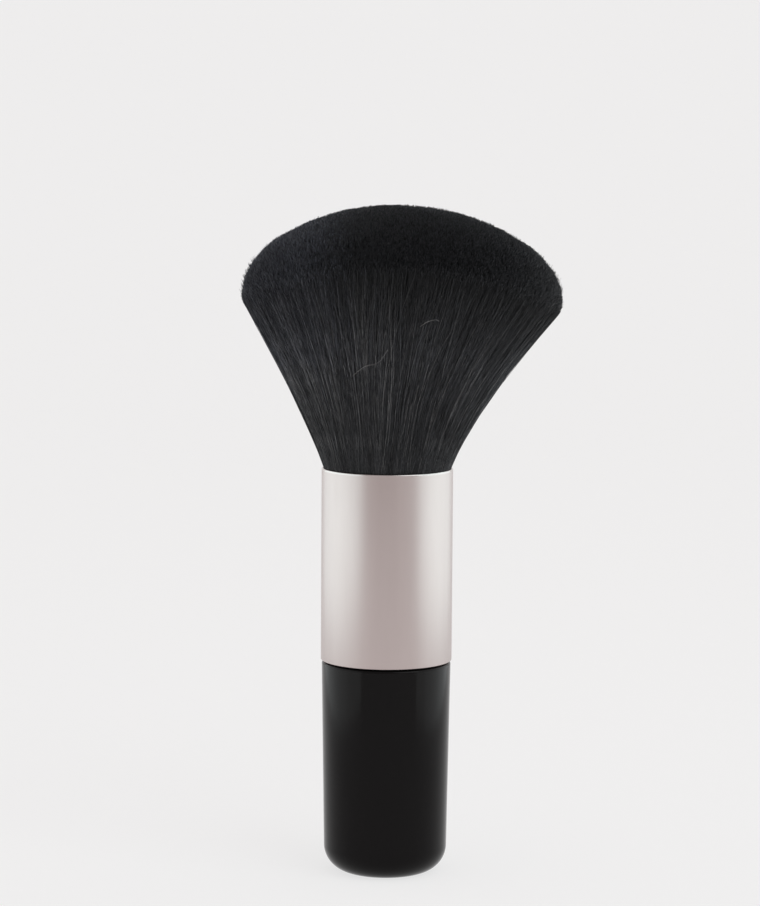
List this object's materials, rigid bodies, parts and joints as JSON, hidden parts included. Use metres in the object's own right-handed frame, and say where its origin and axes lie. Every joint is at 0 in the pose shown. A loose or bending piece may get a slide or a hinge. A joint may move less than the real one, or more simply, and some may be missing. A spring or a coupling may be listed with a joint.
{
  "type": "neck duster brush",
  "caption": "Large barber's neck duster: a wide, domed fan of soft black bristles potted in a satin champagne aluminium ferrule on a short black handle with a rounded end.",
  "frame": {"origin": "centre of the small flat that the handle stands on", "axes": "+Z along the handle's axis, towards the bristles; +X is the side that the crown leans to, on the right as pictured; the picture looks along +Y"},
  "size_m": [0.0659, 0.0658, 0.1378],
  "materials": {
    "bristle": "soft black synthetic hair, faint sheen along the strands",
    "binding": "waxed cotton thread",
    "plug": "turned, bare",
    "resin": "cast resin, glossy",
    "ferrule": "satin champagne anodised, bright rolled rim",
    "handle": "glossy black moulding",
    "weight": "sawn and tumbled"
  },
  "bodies": {
    "root": {"bristle_bundle": "bristle", "root_binding": "binding", "spreader_plug": "plug", "root_resin": "resin", "ferrule": "ferrule", "handle_shell": "handle", "handle_weight": "weight"}
  },
  "joints": []
}
